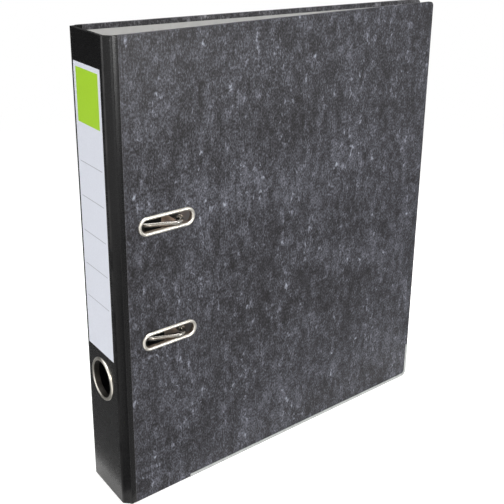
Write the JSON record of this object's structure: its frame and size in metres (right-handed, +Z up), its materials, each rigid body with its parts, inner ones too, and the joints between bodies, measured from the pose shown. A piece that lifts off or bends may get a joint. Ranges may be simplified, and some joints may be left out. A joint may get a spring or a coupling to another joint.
{
  "type": "lever arch file",
  "caption": "A4 lever arch file with a narrow spine, cloud-patterned paper covers, black cloth spine, blank label, finger ring, slotted front cover and a lever arch mechanism.",
  "frame": {"origin": "middle of the foot of the closed, standing file: centre of its bounding box in plan, on the surface it stands on", "axes": "+X from the spine to the free edge, +Y from the front cover to the back cover, +Z up along the spine"},
  "size_m": [0.2888, 0.0516, 0.318],
  "materials": {
    "cloud_paper": "matt, clouded",
    "black_cloth": "satin coated cloth",
    "lining_paper": "matt",
    "label_paper": "smooth",
    "greyboard": "raw",
    "nickel_steel": "bright nickel plate",
    "mechanism_steel": "nickel plate",
    "roller_steel": "turned",
    "spring_steel": "blued",
    "black_plastic": "moulded"
  },
  "bodies": {
    "back_cover": {"back_board": "greyboard", "back_cover_paper": "cloud_paper", "back_joint_cloth": "black_cloth", "back_lining": "lining_paper", "back_edge_rail": "nickel_steel", "mechanism_base_plate": "mechanism_steel", "mechanism_rivets": "mechanism_steel", "upper_post": "mechanism_steel", "lower_post": "mechanism_steel", "lever_bracket": "mechanism_steel", "lever_pivot_pin": "mechanism_steel", "opening_spring": "spring_steel", "spring_rivet": "mechanism_steel"},
    "spine": {"spine_board": "greyboard", "spine_cloth": "black_cloth", "spine_lining": "lining_paper", "spine_label": "label_paper", "finger_ring": "nickel_steel", "finger_ring_washer": "nickel_steel"},
    "front_cover": {"front_board": "greyboard", "front_cover_paper": "cloud_paper", "front_joint_cloth": "black_cloth", "front_lining": "lining_paper", "front_edge_rail": "nickel_steel", "upper_slot_eyelet": "nickel_steel", "lower_slot_eyelet": "nickel_steel"},
    "arch": {"arch_wire": "mechanism_steel"},
    "lever": {"lever_arm": "mechanism_steel", "roller_pin": "mechanism_steel"},
    "roller": {"lever_roller": "roller_steel"},
    "compressor_bar": {"compressor_bar": "black_plastic"}
  },
  "joints": [
    {"name": "spine_hinge", "type": "hinge", "parent": "back_cover", "child": "spine", "pos_m": [-0.13915, 0.02515, 0.159], "axis": [0, 0, -1], "range_deg": [0, 90]},
    {"name": "front_hinge", "type": "hinge", "parent": "spine", "child": "front_cover", "pos_m": [-0.13915, -0.02585, 0.159], "axis": [0, 0, -1], "range_deg": [0, 180]},
    {"name": "lever_pivot", "type": "hinge", "parent": "back_cover", "child": "lever", "pos_m": [-0.11105, 0.01635, 0.1743], "axis": [-1, 0, 0], "range_deg": [0, 90]},
    {"name": "arch_pivot", "type": "hinge", "parent": "back_cover", "child": "arch", "pos_m": [-0.12105, 0.01965, 0.1563], "axis": [0, 0, -1], "range_deg": [0, 20]},
    {"name": "roller_spin", "type": "hinge", "parent": "lever", "child": "roller", "pos_m": [-0.11105, 0.0155, 0.1583], "axis": [1, 0, 0], "continuous": true},
    {"name": "compressor_slide", "type": "slide", "parent": "back_cover", "child": "compressor_bar", "axis": [0, -1, 0], "range_m": [0, 0.03]}
  ],
  "couplings": [
    {"joint": "arch_pivot", "follows": "lever_pivot", "ratio": 0.22222}
  ]
}
